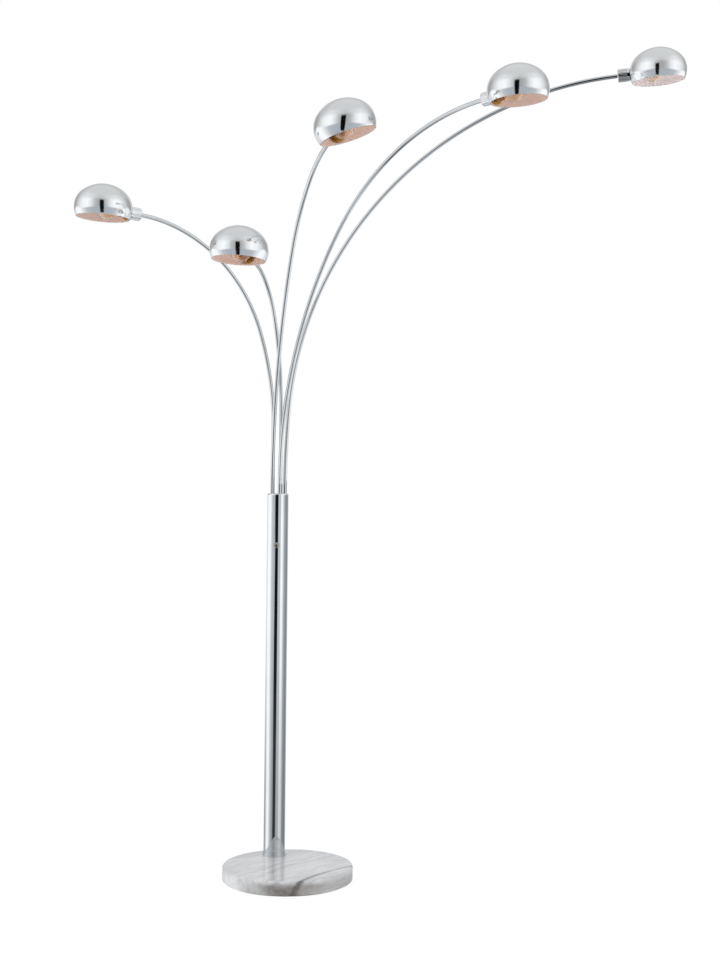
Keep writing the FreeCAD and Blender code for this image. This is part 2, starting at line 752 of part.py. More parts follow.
def build_arm(arm):
    plane = arm_plane(arm)
    _, end, heading = arm_course(arm)
    outside = arm_rod(arm, arm + "_outside", "arm_radius", "arm_stub", "arm_inside_collar")
    flange_start = end + heading * number("arm_flange_start")
    flange = cylinder(arm + "_flange", "arm_flange_radius", "arm_flange_thickness",
                      plane.multiply(along(flange_start, heading)))
    solid = join(arm + "_solid", outside + [flange])
    inside = arm_rod(arm, arm + "_inside", "arm_bore_radius", "arm_stub", "arm_inside_collar")
    hollow = join(arm + "_hollow", inside)
    groove_place = plane.multiply(upright(level="clip_groove_low"))
    groove = ring(arm + "_groove", "clip_groove_outer", "clip_groove_radius",
                  "clip_groove_width", groove_place)
    tube = cut(arm + "_bored", solid, hollow)
    keep(arm + "_tube", cut(arm + "_tube", tube, groove))
    lead = arm_rod(arm, arm + "_wire", "lead_radius", "arm_lead_drop", "arm_lead_inside")
    keep(arm + "_lead", join(arm + "_lead", lead))


def build_arm_fixings():
    washers = []
    clips = []
    for arm in ARMS:
        washer_place = Placement(hole_point(arm, "washer_low"), Rotation())
        washers.append(ring(arm + "_washer", "washer_radius", "arm_hole_radius",
                            "washer_thickness", washer_place))
        clip_place = Placement(hole_point(arm, "clip_low"), Rotation())
        clips.append(ring(arm + "_clip", "clip_radius", "clip_bore_radius",
                          "clip_thickness", clip_place))
    keep("arm_washers", group_of("arm_washers", washers))
    keep("arm_clips", group_of("arm_clips", clips))


# ---------------------------------------------------------------- lamp heads


def head_frame(arm):
    """Centre of the shade, with X along the arm's end and Z up the shade's axis."""
    plane = arm_plane(arm)
    _, end, heading = arm_course(arm)
    centre = plane.multVec(end + heading * number("head_reach"))
    forward = plane.Rotation.multVec(heading)
    side = forward.cross(Vector(0, 0, 1)).normalize()
    above = side.cross(forward)
    roll = math.radians(number(arm + "_shade_roll"))
    axis = above * math.cos(roll) + side * math.sin(roll)
    return Placement(centre, Rotation(forward, axis.cross(forward), axis, "XYZ"))


def build_collar(name, frame):
    body = new_body(name)
    turn(body, "turned", [
        ("-head_reach", "arm_hole_radius"), ("-head_reach", "collar_bevel_radius"),
        ("-collar_bevel_start", "collar_radius"), ("-collar_front", "collar_radius"),
        ("-collar_front", "collar_bore_radius"), ("-collar_inside", "collar_bore_radius"),
        ("-collar_inside", "arm_hole_radius"),
    ], axis="H_Axis")
    turn(body, "seat", [
        ("0", "-dome_seat_half"), ("seat_x", "-dome_seat_half"),
        ("seat_x", "dome_seat_half"), ("0", "dome_seat_half"),
    ], {1: ("seat_arc", 1)}, kind="Groove")
    flute = new_sketch(body, "flute", "YZ_Plane", "-flute_front")
    add_circle(flute, "flute_radius", ("flute_centre", "0"))
    cut_flute = new_feature(body, "Pocket", "flute_cut", flute)
    cut_flute.setExpression("Length", formula("flute_length"))
    repeat_round(body, "flutes", cut_flute, (flute, ["N_Axis"]), "flute_count")
    body.Placement = frame
    keep(name, body)


def build_holder(name, frame):
    body = new_body(name)
    turn(body, "turned", [
        ("-holder_back", "0"), ("-holder_back", "holder_radius"),
        ("-holder_front", "holder_radius"), ("-holder_front", "holder_cavity_radius"),
        ("-holder_cavity_back", "holder_cavity_radius"), ("-holder_cavity_back", "0"),
    ], axis="H_Axis")
    body.Placement = frame
    keep(name, body)


def build_shade_ring(name, frame):
    body = new_body(name)
    turn(body, "turned", [
        ("-ring_back", "ring_bore_radius"), ("-ring_back", "ring_radius"),
        ("-ring_front", "ring_radius"), ("-ring_front", "ring_bore_radius"),
    ], axis="H_Axis")
    turn(body, "seat", [
        ("ring_seat_x", "-dome_seat_half"), ("dome_clear", "-dome_seat_half"),
        ("dome_clear", "dome_seat_half"), ("ring_seat_x", "dome_seat_half"),
    ], {3: ("ring_seat_arc", -1)}, kind="Groove")
    body.Placement = frame
    keep(name, body)


def build_shade(name, frame):
    body = new_body(name)
    turn(body, "spun", [
        ("0", "dome_height"), ("join_x", "join_z"), ("rim_radius", "-dome_skirt"),
        ("rim_radius_inside", "-dome_skirt"), ("join_x_inside", "join_z_inside"),
        ("0", "dome_height_inside"),
    ], {
        0: ("dome_crown", -1), 1: ("dome_shoulder", -1),
        3: ("shoulder_inside", 1), 4: ("crown_inside", 1),
    })
    hole = new_sketch(body, "holder_hole", "YZ_Plane")
    add_circle(hole, "shade_hole_radius")
    punched = new_feature(body, "Pocket", "holder_hole_cut", hole)
    punched.setExpression("Length", formula("dome_clear"))
    body.Placement = frame
    keep(name, body)


def build_bulb(arm, frame):
    base = new_body(arm + "_bulb_base")
    turn(base, "turned", [
        ("-bulb_contact_end", "0"), ("-bulb_contact_end", "bulb_contact_radius"),
        ("-bulb_base_back", "bulb_contact_radius"), ("-bulb_base_back", "bulb_base_radius"),
        ("-bulb_base_front", "bulb_base_radius"), ("-bulb_base_front", "0"),
    ], axis="H_Axis")
    base.Placement = frame
    keep(arm + "_bulb_base", base)

    glass = new_body(arm + "_bulb_glass")
    turn(glass, "blown", [
        ("bulb_front", "0"), ("-bulb_neck_end", "bulb_neck_radius"),
        ("-bulb_glass_end", "bulb_neck_radius"), ("-bulb_glass_end", "bulb_neck_inside"),
        ("-bulb_neck_end_inside", "bulb_neck_inside"), ("bulb_front_inside", "0"),
    ], {0: ("bulb_radius", 1), 4: ("bulb_inside", -1)}, axis="H_Axis")
    glass.Placement = frame
    keep(arm + "_bulb_glass", glass)


def build_head(arm):
    frame = head_frame(arm)
    build_collar(arm + "_collar", frame)
    build_holder(arm + "_lamp_holder", frame)
    build_shade_ring(arm + "_shade_ring", frame)
    build_shade(arm + "_shade", frame)
    build_bulb(arm, frame)


# ---------------------------------------------------------------- whole lamp

fill_sheet()
build_base()
build_pole()
build_bush()
build_dimmer()
build_pole_wires()
build_arm_fixings()
for arm_name in ARMS:
    build_arm(arm_name)
    build_head(arm_name)
doc.recompute()

for item in doc.Objects:
    if "Invalid" in item.State or "Error" in item.State:
        raise RuntimeError("faulty object: " + item.Name)
for label, node in NODES.items():
    if node.Shape.isNull() or not node.Shape.isValid():
        raise RuntimeError("faulty shape: " + label)
for label, node in NODES.items():
    node.Shape.exportStep(os.path.join("parts", label + ".step"))
    print(label, len(node.Shape.Solids), round(node.Shape.Volume, 1))
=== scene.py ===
import json
import math

import bmesh
import bpy
from mathutils import Matrix, Vector


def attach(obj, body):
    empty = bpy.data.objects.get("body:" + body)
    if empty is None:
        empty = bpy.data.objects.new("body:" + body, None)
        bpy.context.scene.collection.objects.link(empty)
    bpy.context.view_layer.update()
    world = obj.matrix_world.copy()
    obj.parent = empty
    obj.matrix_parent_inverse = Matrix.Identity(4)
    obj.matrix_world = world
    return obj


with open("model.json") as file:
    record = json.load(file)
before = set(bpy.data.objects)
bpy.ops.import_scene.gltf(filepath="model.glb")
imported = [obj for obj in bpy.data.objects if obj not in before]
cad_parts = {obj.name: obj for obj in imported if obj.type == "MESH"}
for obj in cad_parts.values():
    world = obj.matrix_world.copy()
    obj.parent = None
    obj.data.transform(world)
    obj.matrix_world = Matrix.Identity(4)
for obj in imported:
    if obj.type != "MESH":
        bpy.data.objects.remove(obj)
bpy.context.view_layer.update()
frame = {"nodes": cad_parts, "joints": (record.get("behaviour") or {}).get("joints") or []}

# A chromed five-arm floor lamp on a marble base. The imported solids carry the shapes; this
# script gives them their finishes and adds the enamel inside the shades and what is inside
# the bulbs. Lengths are in metres unless a name says mm.

MM = 0.001
ARMS = ("arm_1", "arm_2", "arm_3", "arm_4", "arm_5")

# Sizes and places that the solids have, in mm: where the pole stands, the base's top, how far
# each dome's centre is past its turning joint, and the dome. The rolls are in degrees.
POLE_X, POLE_Y = -36.8, 88.6
BASE_TOP = 34.0
HEAD_REACH = 90.0
DOME_RADIUS, DOME_HEIGHT, DOME_SKIRT, DOME_SHOULDER, DOME_WALL = 64.0, 53.0, 21.4, 47.0, 1.0
HOLDER_HOLE = 14.6
SHADE_ROLL = {"arm_1": -4.0, "arm_2": -2.5, "arm_3": 18.5, "arm_4": 6.5, "arm_5": 7.0}


# ---------------------------------------------------------------- making nodes and finishes


def tint(code):
    """Linear RGBA of an sRGB hex colour."""
    shares = [int(code[place:place + 2], 16) / 255 for place in (1, 3, 5)]
    linear = [s / 12.92 if s <= 0.04045 else ((s + 0.055) / 1.055) ** 2.4 for s in shares]
    return (*linear, 1.0)


def add(tree, kind, inputs=None, stops=None, **settings):
    """Add a node. Inputs are values, or the outputs of other nodes, by socket name or number;
    stops are a ramp's places and colours; settings are the node's own properties."""
    node = tree.nodes.new("ShaderNode" + kind)
    for name, value in settings.items():
        setattr(node, name, value)
    for name, value in (inputs or {}).items():
        if isinstance(value, bpy.types.NodeSocket):
            tree.links.new(value, node.inputs[name])
        else:
            node.inputs[name].default_value = value
    if stops:
        points = node.color_ramp.elements
        while len(points) < len(stops):
            points.new(1.0)
        for point, (place, colour) in zip(points, stops):
            point.position = place
            point.color = colour if isinstance(colour, tuple) else (colour, colour, colour, 1.0)
    return node


def new_finish(name):
    finish = bpy.data.materials.new(name)
    finish.use_nodes = True
    finish.node_tree.nodes.clear()
    return finish, finish.node_tree


def show(tree, shader):
    add(tree, "OutputMaterial", {"Surface": shader})


def give(piece, finish):
    """The one finish all over a piece."""
    piece.data.materials.clear()
    piece.data.materials.append(finish)


# ---------------------------------------------------------------- making pieces


def put_in_scene(name, data):
    piece = bpy.data.objects.new(name, data)
    bpy.context.scene.collection.objects.link(piece)
    return piece


def new_piece(name, shape, axes=None):
    """A smooth-shaded piece from a finished mesh, moved to these axes first."""
    if axes:
        shape.transform(axes)
    mesh = bpy.data.meshes.new(name)
    bmesh.ops.recalc_face_normals(shape, faces=shape.faces)
    shape.to_mesh(mesh)
    shape.free()
    for face in mesh.polygons:
        face.use_smooth = True
    return put_in_scene(name, mesh)


def ring(shape, around, place):
    """Corners evenly round a circle, each where place puts its cosine and sine."""
    corners = []
    for step in range(around):
        angle = 2 * math.pi * step / around
        corners.append(shape.verts.new(place(math.cos(angle), math.sin(angle))))
    return corners


def band(shape, first, second):
    """Faces between two rings with as many corners."""
    around = len(first)
    for step in range(around):
        after = (step + 1) % around
        shape.faces.new((first[step], first[after], second[after], second[step]))


# ---------------------------------------------------------------- camera, floor and light

CAMERA_PLACE = (0.159, -3.161, 0.825)
CAMERA_PITCH, CAMERA_ROLL = math.radians(1.76), math.radians(0.5)
CAMERA_LENS_MM, CAMERA_SENSOR_MM = 51.0, 36.0


def set_camera():
    """The photograph's viewpoint: just over 3 m away at 0.8 m height, tipped up a little."""
    view = put_in_scene("studio_camera", bpy.data.cameras.new("studio_camera"))
    view.data.lens = CAMERA_LENS_MM
    view.data.sensor_width = CAMERA_SENSOR_MM
    view.data.clip_end = 50.0
    pitch, roll = CAMERA_PITCH, CAMERA_ROLL
    ahead = Vector((0, math.cos(pitch), math.sin(pitch)))
    above = Vector((0, -math.sin(pitch), math.cos(pitch)))
    across = Vector((1, 0, 0))
    turned = across * math.cos(roll) + above * math.sin(roll)
    upward = above * math.cos(roll) - across * math.sin(roll)
    axes = Matrix((turned, upward, -ahead)).transposed().to_4x4()
    view.matrix_world = Matrix.Translation(CAMERA_PLACE) @ axes
    bpy.context.scene.camera = view


# Brightness that the chrome sees round the room, by bearing in degrees: 0 is behind the
# camera and positive is to the lamp's right. White panels stand at both sides, the room goes
# dark behind the lamp, and the floor is grey towards the camera.
FLOOR_ZONE = (
    (-180, 0.35), (-164, 0.60), (-150, 1.05), (-136, 1.0), (-120, 1.42), (-98, 1.42), (-80, 1.05),
    (-62, 0.72), (-30, 0.63), (30, 0.63), (62, 0.72), (80, 1.05), (98, 1.42), (120, 1.42),
    (136, 1.0), (150, 1.05), (164, 0.60), (180, 0.35),
)
PANEL_ZONE = (
    (-180, 0.60), (-160, 0.95), (-145, 0.46), (-122, 0.58), (-100, 1.0), (-80, 1.30), (-55, 1.42),
    (-38, 1.15), (-22, 0.72), (-8, 0.55), (8, 0.55), (22, 0.72), (38, 1.15), (55, 1.42),
    (80, 1.30), (100, 1.0), (122, 0.58), (145, 0.46), (160, 0.95), (180, 0.60),
)
UPPER_ZONE = (
    (-180, 0.70), (-150, 0.70), (-125, 0.74), (-100, 0.92), (-70, 1.12), (-40, 1.0), (0, 0.80),
    (40, 1.0), (70, 1.12), (100, 0.92), (125, 0.74), (150, 0.70), (180, 0.70),
)
# How far the floor's far edge is raised, by bearing: its sweep curls up at the lamp's sides.
SWEEP_RISE = (
    (-180, 0.20), (-150, 0.26), (-117, 0.30), (-98, 0.18), (-70, 0.03), (-40, 0.0), (40, 0.0),
    (70, 0.03), (98, 0.18), (117, 0.30), (150, 0.26), (180, 0.20),
)
# Brightness of the screens close round the pole, by bearing, at the pole's top and its foot.
SCREEN_HIGH = (
    (-180, 0.95), (-124, 1.0), (-104, 1.36), (-86, 1.44), (-70, 1.38), (-60, 1.08),
    (-48, 0.76), (-36, 0.71), (-24, 0.62), (-19, 0.55), (-17, 0.01), (14, 0.01), (17, 0.64),
    (28, 0.79), (38, 0.70), (43, 1.1), (49, 1.38), (61, 1.40), (70, 1.05), (88, 0.55),
    (103, 0.42), (121, 0.32), (145, 0.50), (165, 0.90), (180, 0.95),
)
SCREEN_LOW = (
    (-180, 0.80), (-152, 0.60), (-125, 0.42), (-104, 0.75), (-88, 1.31), (-74, 1.37), (-61, 1.19),
    (-49, 0.80), (-37, 0.61), (-26, 0.44), (-16, 0.41), (-13, 0.05), (12, 0.05), (16, 0.40),
    (27, 0.60), (38, 0.53), (49, 0.89), (60, 0.96), (73, 0.80), (86, 0.42), (101, 0.32),
    (119, 0.26), (142, 0.42), (160, 0.70), (180, 0.80),
)
# The level that counts as 1 in a ramp, whose colours can't pass 1.
BRIGHTEST = 1.6


def ramp_colour(*levels):
    """A colour's levels as shares of the brightest, with full alpha."""
    return (*(level / BRIGHTEST for level in levels), 1.0)


def zone_ramp(tree, turn, zone, cast=(1.0, 1.0, 1.0)):
    """The zone's level, as a share of the brightest, for a bearing given as 0 to 1. The
    colour cast is full up to level 0.6 and fades out by level 1.1, where the zone is white."""
    stops = []
    for bearing, level in zone:
        greyness = min(1.0, max(0.0, 2.2 - 2.0 * level))
        parts = (level / BRIGHTEST * (1 + (part - 1) * greyness) for part in cast)
        stops.append(((bearing + 180) / 360, (*parts, 1.0)))
    return add(tree, "ValToRGB", {"Fac": turn}, stops).outputs[0]


def bearing_and_height(tree, place):
    """Bearing round the upright, as 0 to 1, and the height of a direction or place."""
    parts = add(tree, "SeparateXYZ", {"Vector": place})
    away = add(tree, "Math", {0: parts.outputs["Y"], 1: -1.0}, operation="MULTIPLY")
    angle = add(tree, "Math", {0: parts.outputs["X"], 1: away.outputs[0]}, operation="ARCTAN2")
    turn = add(tree, "MapRange", {"Value": angle.outputs[0], "From Min": -math.pi,
                                  "From Max": math.pi})
    return turn.outputs[0], parts.outputs["Z"]


def blend(tree, height, start, stop, under, over):
    """One colour passing into the other between two heights."""
    share = add(tree, "MapRange", {"Value": height, "From Min": start, "From Max": stop},
                interpolation_type="SMOOTHSTEP")
    mixed = add(tree, "Mix", {0: share.outputs[0], 6: under, 7: over}, data_type="RGBA")
    return mixed.outputs[2]


def light_studio():
    """A white studio: big soft panels at both sides, a light ceiling and a grey floor ahead.
    The camera sees plain white behind the lamp."""
    world = bpy.data.worlds.new("white_studio")
    bpy.context.scene.world = world
    world.use_nodes = True
    tree = world.node_tree
    tree.nodes.clear()
    turn, height = bearing_and_height(tree, add(tree, "TexCoord").outputs["Generated"])
    ground = zone_ramp(tree, turn, FLOOR_ZONE, (0.93, 1.0, 1.08))
    panels = zone_ramp(tree, turn, PANEL_ZONE)
    upper = zone_ramp(tree, turn, UPPER_ZONE)
    ceiling = ramp_colour(0.90, 0.90, 0.90)
    underfoot = ramp_colour(0.30, 0.30, 0.31)
    ground = blend(tree, height, -0.93, -0.72, underfoot, ground)
    curl = add(tree, "Math", {0: zone_ramp(tree, turn, SWEEP_RISE), 1: BRIGHTEST},
               operation="MULTIPLY")
    past = add(tree, "Math", {0: height, 1: curl.outputs[0]}, operation="SUBTRACT")
    room = blend(tree, past.outputs[0], -0.25, -0.12, ground, panels)
    room = blend(tree, height, 0.40, 0.66, room, upper)
    room = blend(tree, height, 0.70, 0.88, room, ceiling)
    lit = add(tree, "Background", {"Color": room, "Strength": BRIGHTEST})
    plain = add(tree, "Background", {"Color": (1, 1, 1, 1), "Strength": 1.0})
    path = add(tree, "LightPath")
    seen = add(tree, "MixShader", {0: path.outputs["Is Camera Ray"], 1: lit.outputs[0],
                                   2: plain.outputs[0]})
    add(tree, "OutputWorld", {"Surface": seen.outputs[0]})


def seen_in_chrome_only(piece):
    piece.visible_camera = False
    piece.visible_diffuse = False
    piece.visible_transmission = False
    piece.visible_shadow = False


def lit_screens():
    """Lit white cloth with grey and black strips: what the chromed pole mirrors as its
    upright bands. The piece's own origin is on the pole's axis."""
    finish, tree = new_finish("lit_screen_cloth")
    place = add(tree, "TexCoord").outputs["Object"]
    turn, height = bearing_and_height(tree, place)
    low = zone_ramp(tree, turn, SCREEN_LOW, (0.95, 1.0, 1.04))
    high = zone_ramp(tree, turn, SCREEN_HIGH, (0.95, 1.0, 1.04))
    weave = add(tree, "TexNoise", {"Vector": place, "Scale": 30.0})
    drift = add(tree, "MapRange", {"Value": weave.outputs["Fac"], "To Min": BRIGHTEST * 0.97,
                                   "To Max": BRIGHTEST * 1.03})
    cloth = add(tree, "Emission", {"Color": blend(tree, height, -0.05, 0.60, low, high),
                                   "Strength": drift.outputs[0]})
    show(tree, cloth.outputs[0])
    finish.cycles.emission_sampling = "NONE"
    return finish


def stand_screens():
    """A ring of screens round the pole, lower than the shades, so that only the pole, its
    knob and the base mirror it."""
    shape = bmesh.new()
    around, reach, low, high, turned = 96, 0.60, -0.35, 0.93, -5
    foot, head = (ring(shape, around, lambda c, s, level=level: (reach * c, reach * s, level))
                  for level in (low, high))
    band(shape, head, foot)
    screens = new_piece("studio_screens", shape)
    screens.location = (POLE_X * MM, POLE_Y * MM, 0)
    screens.rotation_euler.z = math.radians(turned)
    give(screens, lit_screens())
    seen_in_chrome_only(screens)


def sheet_of_paper():
    """White paper sweep, lit from below as well: matt, and bright enough that its edge melts
    into the background."""
    finish, tree = new_finish("white_paper")
    place = add(tree, "TexCoord")
    fibre = add(tree, "TexNoise", {"Vector": place.outputs["Object"], "Scale": 400.0})
    shade = add(tree, "ValToRGB", {"Fac": fibre.outputs["Fac"]},
                [(0.0, tint("#F1F1F1")), (1.0, tint("#F7F7F7"))])
    paper = add(tree, "BsdfPrincipled", {"Base Color": shade.outputs[0], "Roughness": 0.9,
                                         "Specular IOR Level": 0.1})
    path = add(tree, "LightPath")
    lift = add(tree, "Emission", {"Color": (1, 1, 1, 1), "Strength": 1.04})
    part = add(tree, "MapRange", {"Value": path.outputs["Is Camera Ray"], "To Min": 0.5,
                                  "To Max": 0.88})
    seen = add(tree, "MixShader", {0: part.outputs[0], 1: paper.outputs[0], 2: lift.outputs[0]})
    show(tree, seen.outputs[0])
    return finish


def flag_cloth():
    """Black flag cloth: takes all light, and thins out towards its top hem."""
    finish, tree = new_finish("black_flag_cloth")
    cloth = add(tree, "BsdfDiffuse", {"Color": tint("#060606")})
    parts = add(tree, "SeparateXYZ", {"Vector": add(tree, "TexCoord").outputs["Object"]})
    thin = add(tree, "MapRange", {"Value": parts.outputs["Z"], "From Min": 2.75, "From Max": 3.35},
               interpolation_type="SMOOTHSTEP")
    hem = add(tree, "MixShader", {0: thin.outputs[0], 1: cloth.outputs[0],
                                  2: add(tree, "BsdfTransparent").outputs[0]})
    show(tree, hem.outputs[0])
    return finish


def lay_floor():
    """A round sheet of paper under the lamp, which the chrome doesn't mirror."""
    mesh = bpy.data.meshes.new("studio_floor")
    shape = bmesh.new()
    bmesh.ops.create_circle(shape, cap_ends=True, segments=128, radius=1.35)
    shape.to_mesh(mesh)
    shape.free()
    floor = put_in_scene("studio_floor", mesh)
    give(floor, sheet_of_paper())
    floor.visible_glossy = False


def hang_flag():
    """The dark gap between the two front panels, behind the camera, that the chrome mirrors
    as a narrow black bar."""
    left, right, back, low, high = -0.62, 0.36, -3.5, -1.5, 3.5
    mesh = bpy.data.meshes.new("studio_flag")
    corners = [(left, back, low), (right, back, low), (right, back, high), (left, back, high)]
    mesh.from_pydata(corners, [], [(0, 1, 2, 3)])
    flag = put_in_scene("studio_flag", mesh)
    give(flag, flag_cloth())
    seen_in_chrome_only(flag)


# ---------------------------------------------------------------- finishes


def chrome_plate(name, haze, grain_mm, dull, bright):
    """Bright chrome plate on drawn or turned steel. Chromium is a faintly blue, mirror-bright
    metal; polishing leaves a very low haze that varies along the tube."""
    finish, tree = new_finish(name)
    place = add(tree, "TexCoord")
    wipe = add(tree, "TexNoise", {"Vector": place.outputs["Object"], "Scale": 14.0, "Detail": 4.0})
    rough = add(tree, "MapRange", {"Value": wipe.outputs["Fac"], "From Min": 0.3, "From Max": 0.7,
                                   "To Min": haze * 0.7, "To Max": haze * 1.3})
    grain = add(tree, "TexNoise", {"Vector": place.outputs["Object"], "Scale": 1 / (grain_mm * MM)})
    relief = add(tree, "Bump", {"Height": grain.outputs["Fac"], "Strength": 0.06,
                                "Distance": 0.02 * MM})
    cast = add(tree, "ValToRGB", {"Fac": wipe.outputs["Fac"]},
               [(0.3, tint(dull)), (0.7, tint(bright))])
    plate = add(tree, "BsdfPrincipled", {"Base Color": cast.outputs[0], "Metallic": 1.0,
                                         "Roughness": rough.outputs[0],
                                         "Normal": relief.outputs[0]})
    show(tree, plate.outputs[0])
    return finish


# Painted light and shade round the base's side, by bearing as above: painted light to the left, and
# in front and along the right a warm iron stain mixed with painted shade. The ramp divides them
# # by BRIGHTEST too, so a full share is 1.6.
PAINTED_LIGHT_SIDE = ((-180, 0.4), (-110, 0.9), (-66, 0.80), (-50, 0.28), (-38, 0.0), (180, 0.3))
IRON_STAIN_AND_SHADE_SIDE = (
    (-180, 0.1), (-48, 0.0), (-34, 0.22), (-22, 0.60), (-12, 1.05), (-3, 1.20), (7, 1.15),
    (16, 1.0), (24, 0.82), (36, 0.66), (75, 0.60), (180, 0.2),
)


def polished_marble():
    """White marble, sawn and polished: cool white with long soft grey streaks that all run
    one way, one sharp dark vein across the right front, and on the sawn side painted light to
    the left and a warm iron stain mixed with painted shade low on the front edge and along the
    right, under a clear gloss. Lengths are in mm from the middle of the base."""
    finish, tree = new_finish("polished_marble")
    place = add(tree, "TexCoord")
    grown = add(tree, "Mapping", {"Vector": place.outputs["Object"], "Scale": (1000, 1000, 1000)})
    grain = add(tree, "Mapping", {"Vector": grown.outputs[0],
                                  "Rotation": (0, 0, math.radians(-50))})
    lie = add(tree, "SeparateXYZ", {"Vector": grain.outputs[0]})
    along, across, level = lie.outputs

    def noise(wide, long, detail, distortion=0.0):
        """Noise this many mm wide and this many mm long down the stone's grain."""
        drawn = add(tree, "Mapping", {"Vector": grain.outputs[0],
                                      "Scale": (1 / long, 1 / wide, 1 / wide)})
        return add(tree, "TexNoise", {"Vector": drawn.outputs[0], "Scale": 1.0, "Detail": detail,
                                      "Roughness": 0.55, "Distortion": distortion}).outputs["Fac"]

    def sums(kind, first, second):
        return add(tree, "Math", {0: first, 1: second}, operation=kind).outputs[0]

    def fade(value, start, stop, low, high):
        return add(tree, "MapRange", {"Value": value, "From Min": start, "From Max": stop,
                                      "To Min": low, "To Max": high},
                   interpolation_type="SMOOTHSTEP").outputs[0]

    def stain(share, under, colour):
        return add(tree, "Mix", {0: share, 6: under, 7: tint(colour)}, data_type="RGBA").outputs[2]

    stone = add(tree, "ValToRGB", {"Fac": noise(26.0, 110.0, 5.0, 0.5)},
                [(0.30, tint("#C0C2C5")), (0.45, tint("#D4D5D7")), (0.62, tint("#E0E0E1"))])
    thread = sums("ABSOLUTE", sums("SUBTRACT", noise(13.0, 120.0, 3.0, 0.6), 0.5), 0.0)
    stone = stain(fade(thread, 0.0, 0.035, 0.34, 0.0), stone.outputs[0], "#9B9DA2")

    # The vein is a gently arched sheet that leans as it goes down through the stone.
    arch_middle, arch_rise, vein_place, vein_lean, vein_wander = 10.0, 0.0011, 111.0, 0.55, 9.0
    bow = sums("POWER", sums("SUBTRACT", along, arch_middle), 2.0)
    wander = sums("MULTIPLY", sums("SUBTRACT", noise(5.0, 14.0, 4.0), 0.5), vein_wander)
    lean = sums("MULTIPLY", sums("SUBTRACT", BASE_TOP, level), vein_lean)
    off = sums("ADD", sums("ADD", across, vein_place), sums("MULTIPLY", bow, arch_rise))
    off = sums("ADD", sums("SUBTRACT", off, lean), wander)
    gap = sums("ABSOLUTE", off, 0.0)
    swell = fade(along, 40.0, -95.0, 1.0, 4.4)
    vein = fade(sums("DIVIDE", gap, swell), 0.4, 2.0, 0.80, 0.0)
    bruise = fade(sums("DIVIDE", gap, swell), 0.0, 7.0, 0.40, 0.0)
    stone = stain(bruise, stone, "#8A8988")
    stone = stain(vein, stone, "#55565A")

    # Round the sawn side, by bearing: painted light to the left, a warm iron stain mixed with
    #     # painted shade in front that is strongest low down and left of the vein, and painted warm
    #     grey
    #     # shade all along the right.
    side = fade(level, 19.0, BASE_TOP, 1.0, 0.0)
    turn, _ = bearing_and_height(tree, grown.outputs[0])
    patchy = fade(noise(16.0, 38.0, 3.0), 0.25, 0.75, 0.82, 1.15)
    # Painted light: the left of the sawn side is made paler, as if more light fell on it.
    painted_light_left = zone_ramp(tree, turn, PAINTED_LIGHT_SIDE)
    stone = stain(sums("MULTIPLY", painted_light_left, side), stone, "#FBFBFB")
    # Partly a real iron stain and partly painted shade: the front and right of the sawn side are
    # made darker and warmer, most strongly low down.
    stain_and_shade = sums("MULTIPLY", zone_ramp(tree, turn, IRON_STAIN_AND_SHADE_SIDE), patchy)
    stone = stain(sums("MULTIPLY", stain_and_shade, side), stone, "#5A5249")

    gloss = add(tree, "MapRange", {"Value": noise(40.0, 40.0, 3.0), "To Min": 0.10,
                                   "To Max": 0.17})
    slab = add(tree, "BsdfPrincipled", {"Base Color": stone, "Roughness": gloss.outputs[0],
                                        "IOR": 1.5})
    show(tree, slab.outputs[0])
    return finish


def plain_finish(name, dark, light, roughness, metallic, speck_mm, relief=0.15):
    """A moulded, plated or pressed finish: two close colours in a fine speckle, with the
    same speckle as relief."""
    finish, tree = new_finish(name)
    place = add(tree, "TexCoord")
    speck = add(tree, "TexNoise", {"Vector": place.outputs["Object"],
                                   "Scale": 1 / (speck_mm * MM), "Detail": 3.0})
    cast = add(tree, "ValToRGB", {"Fac": speck.outputs["Fac"]},
               [(0.35, tint(dark)), (0.65, tint(light))])
    bump = add(tree, "Bump", {"Height": speck.outputs["Fac"], "Strength": relief,
                              "Distance": 0.1 * MM})
    skin = add(tree, "BsdfPrincipled", {"Base Color": cast.outputs[0], "Roughness": roughness,
                                        "Metallic": metallic, "Normal": bump.outputs[0]})
    show(tree, skin.outputs[0])
    return finish


def clear_glass():
    """Blown soda glass of the bulb: smooth and clear with a light amber tint, and a faint
    waviness from blowing."""
    finish, tree = new_finish("clear_bulb_glass")
    place = add(tree, "TexCoord")
    wave = add(tree, "TexNoise", {"Vector": place.outputs["Object"], "Scale": 90.0})
    bump = add(tree, "Bump", {"Height": wave.outputs["Fac"], "Strength": 0.05,
                              "Distance": 0.2 * MM})
    glass = add(tree, "BsdfPrincipled", {"Base Color": tint("#FAF0E0"), "Roughness": 0.01,
                                         "IOR": 1.5, "Transmission Weight": 1.0,
                                         "Normal": bump.outputs[0]})
    show(tree, glass.outputs[0])
    return finish


def hot_tungsten():
    """Drawn tungsten wire, coiled: grey metal that glows orange when the lamp is dimmed."""
    finish, tree = new_finish("glowing_tungsten")
    place = add(tree, "TexCoord")
    drift = add(tree, "TexNoise", {"Vector": place.outputs["Object"], "Scale": 300.0})
    glow = add(tree, "ValToRGB", {"Fac": drift.outputs["Fac"]},
               [(0.3, tint("#FF8A2E")), (0.7, tint("#FFB45A"))])
    # The wire glows to the eye, straight or through glass. The lamp beside it lights the shade.
    path = add(tree, "LightPath")
    bounces = add(tree, "Math", {0: path.outputs["Diffuse Depth"],
                                 1: path.outputs["Glossy Depth"]})
    strength = add(tree, "MapRange", {"Value": bounces.outputs[0], "To Min": 9.0, "To Max": 0.0})
    wire = add(tree, "BsdfPrincipled", {"Base Color": tint("#8A857D"), "Metallic": 1.0,
                                        "Roughness": 0.4, "Emission Color": glow.outputs[0],
                                        "Emission Strength": strength.outputs[0]})
    show(tree, wire.outputs[0])
    finish.cycles.emission_sampling = "NONE"
    return finish


# ---------------------------------------------------------------- pieces in the lamp heads


